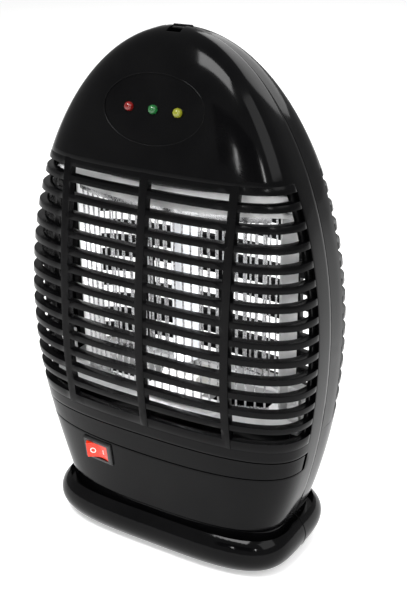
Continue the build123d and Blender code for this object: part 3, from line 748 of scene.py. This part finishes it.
def lamp_rim():
    """Fine raised rim round the oval recess of the lamps."""
    long, tall = OVAL_LONG + RIM_GAP, OVAL_TALL + RIM_GAP

    def place(column, row):
        turn, roll = 2 * pi * column / RIM_STEPS, 2 * pi * row / RIM_ROLLS
        grow = RIM_HALF_WIDTH * cos(roll)
        middle = LAMP_SEAT @ Vector(((long + grow) * cos(turn), (tall + grow) * sin(turn), 0.0))
        skin = Vector((middle.x, face_y(middle.x, middle.z), middle.z))
        return skin + LAMP_SEAT.to_3x3() @ Vector((0, 0, RIM_RISE * sin(roll)))

    rim = net("lamp_rim", RIM_STEPS + 1, RIM_ROLLS + 1, place)
    close_tube(rim)
    finish_piece(rim, base_black, "housing")


def screw_highlight_rings():
    """Bright rings at the four screws of the chamber: painted highlights on the screw heads."""
    places = [(hand * x, SCREW_RING_Y, z) for hand in (-1, 1) for x, z in SCREW_PLACES]
    for number, place in enumerate(places, 1):
        pick()
        bpy.ops.mesh.primitive_torus_add(
            major_radius=SCREW_RING_RADIUS,
            minor_radius=SCREW_RING_THICK,
            major_segments=40,
            minor_segments=12,
            location=place,
            rotation=(pi / 2, 0, 0),
        )
        ring = bpy.context.object
        ring.name = f"screw_highlight_ring_{number}"
        settle(ring)
        bpy.ops.object.shade_smooth()
        finish_piece(ring, screw_highlight, "housing")


# ---------------------------------------------------------------- stage, lights and camera

FLOOR_SIZE = 12.0
FLOOR_GLOW = 0.4
WALL_RADIUS = 2.95
WALL_HEIGHT = 9.0
WALL_MIDDLE = (0, 0, 3.5)
WALL_GLOW = 0.7
ROOM_STRENGTH = 0.45
CARD_SHADE = 0.003
CARD_PLACE = (0.24, -1.30, 0.78)
CARD_AIM = (0.03, 0, 0.25)
CARD_SIZE = (1.1, 0.5, 1)

# Camera: turned round the object, raised and slightly rolled.
CAMERA_AIM = Vector((0.0122, 0.0, 0.1507))
CAMERA_TURN = radians(31.887)
CAMERA_RISE = radians(23.538)
CAMERA_ROLL = radians(-0.664)
CAMERA_DISTANCE = 0.6291
CAMERA_LENS = 43.848
CAMERA_NEAR = 0.01
SENSOR_HEIGHT = 24.0

# Softboxes: name, place, aim, width, height and power.
SOFT_LIGHTS = (
    ("overhead", (-0.05, -0.69, 1.38), (0, 0, 0.28), 0.72, 0.36, 17.0),
    ("back_wall", (0.1, 1.4, 1.2), (0, 0, 0.1), 1.4, 1.0, 16.0),
    ("right_wash", (1.1, -0.30, 1.15), (0, 0, 0.2), 0.9, 0.9, 8.0),
    ("streak_front", (0.05, -1.15, 0.586), (0.05, 0, 0.245), 0.04, 0.13, 0.8),
    ("streak_right", (0.72, -0.93, 0.678), (0.065, 0, 0.24), 0.06, 0.17, 1.5),
)

# Fill lamps inside the chamber: name, place and power.
CHAMBER_LIGHT_RADIUS = 0.004
CHAMBER_LIGHTS = (
    ("chamber_left", (-0.045, -0.004, 0.165), 0.09),
    ("chamber_right", (0.045, -0.004, 0.165), 0.09),
    ("chamber_low", (0.0, -0.018, 0.112), 0.035),
)


def aimed(place, aim):
    """Turn of a light or card at a place, facing a point."""
    return (Vector(aim) - Vector(place)).to_track_quat("-Z", "Y").to_euler()


def stage_floor():
    """Wide pale floor that the object stands on."""
    bpy.ops.mesh.primitive_plane_add(size=FLOOR_SIZE, location=(0, 0, 0))
    floor = bpy.context.object
    floor.name = "stage_floor"
    finish = Finish("floor_white")
    finish.tint(finish.noise(3.0), grey(0.90), grey(0.93))
    finish.set(Roughness=0.7)
    finish.glow(grey(1.0), FLOOR_GLOW)
    coat(floor, finish)


def far_wall():
    """Round white wall behind the floor, which lights nothing and shows in no gloss."""
    bpy.ops.mesh.primitive_cylinder_add(
        vertices=96, radius=WALL_RADIUS, depth=WALL_HEIGHT, location=WALL_MIDDLE, end_fill_type="NOTHING"
    )
    wall = bpy.context.object
    wall.name = "far_wall"
    finish = Finish("wall_white")
    finish.tint(finish.noise(0.5), grey(0.9), grey(0.92))
    finish.set(Roughness=1.0)
    finish.glow(grey(1.0), WALL_GLOW)
    coat(wall, finish)
    wall.visible_diffuse = False
    wall.visible_glossy = False
    wall.visible_shadow = False


def white_room():
    """White surroundings."""
    world = bpy.data.worlds.new("white_room")
    world.use_nodes = True
    background = world.node_tree.nodes["Background"]
    background.inputs["Color"].default_value = (1, 1, 1, 1)
    background.inputs["Strength"].default_value = ROOM_STRENGTH
    bpy.context.scene.world = world


def camera():
    """Camera that looks at its aim from its turn, rise and distance."""
    turn, rise, roll = CAMERA_TURN, CAMERA_RISE, CAMERA_ROLL
    right = Vector((cos(turn), sin(turn), 0))
    up = Vector((-sin(turn) * sin(rise), cos(turn) * sin(rise), cos(rise)))
    back = Vector((sin(turn) * cos(rise), -cos(turn) * cos(rise), sin(rise)))
    right, up = right * cos(roll) + up * sin(roll), up * cos(roll) - right * sin(roll)
    data = bpy.data.cameras.new("camera")
    data.sensor_fit = "VERTICAL"
    data.sensor_height = SENSOR_HEIGHT
    data.lens = CAMERA_LENS
    data.clip_start = CAMERA_NEAR
    seat = bpy.data.objects.new("camera", data)
    bpy.context.scene.collection.objects.link(seat)
    turned = Matrix((right, up, back)).transposed().to_4x4()
    seat.matrix_world = Matrix.Translation(CAMERA_AIM + back * CAMERA_DISTANCE) @ turned
    bpy.context.scene.camera = seat


def soft_light(name, place, aim, width, height, power):
    """Rectangular softbox turned towards a point."""
    bpy.ops.object.light_add(type="AREA", location=place)
    light = bpy.context.object
    light.name = name
    light.data.shape = "RECTANGLE"
    light.data.size = width
    light.data.size_y = height
    light.data.energy = power
    light.rotation_euler = aimed(place, aim)
    light.visible_camera = False


def chamber_light(name, place, power):
    """Small fill lamp inside the chamber, not seen itself."""
    bpy.ops.object.light_add(type="POINT", location=place)
    light = bpy.context.object
    light.name = name
    light.data.shadow_soft_size = CHAMBER_LIGHT_RADIUS
    light.data.energy = power
    light.visible_camera = False
    light.visible_glossy = False


def dark_card():
    """Dark card in front of the object, seen only in its gloss."""
    bpy.ops.mesh.primitive_plane_add(size=1, location=CARD_PLACE)
    sheet = bpy.context.object
    sheet.name = "dark_card"
    sheet.scale = CARD_SIZE
    sheet.rotation_euler = aimed(CARD_PLACE, CARD_AIM)
    finish = Finish("dark_card")
    finish.set(Base_Color=(*grey(CARD_SHADE), 1.0), Roughness=1.0, Specular_IOR_Level=0.0)
    coat(sheet, finish)
    sheet.visible_camera = False


# ---------------------------------------------------------------- assembly

for node_name, node_finish in NODE_FINISHES.items():
    coat(nodes[node_name], node_finish)

front_skin()
seam_tongue()
base_joint_shade(1, "right")
base_joint_shade(-1, "left")
rocker_key()
rocker_marks()
rounded_grille("front_bars", "front_grille")
rounded_grille("rear_bars", "rear_grille")
lamp_rim()
screw_highlight_rings()

stage_floor()
far_wall()
white_room()
camera()
for light_settings in SOFT_LIGHTS:
    soft_light(*light_settings)
for light_settings in CHAMBER_LIGHTS:
    chamber_light(*light_settings)
dark_card()
bpy.context.scene.view_settings.view_transform = "Standard"
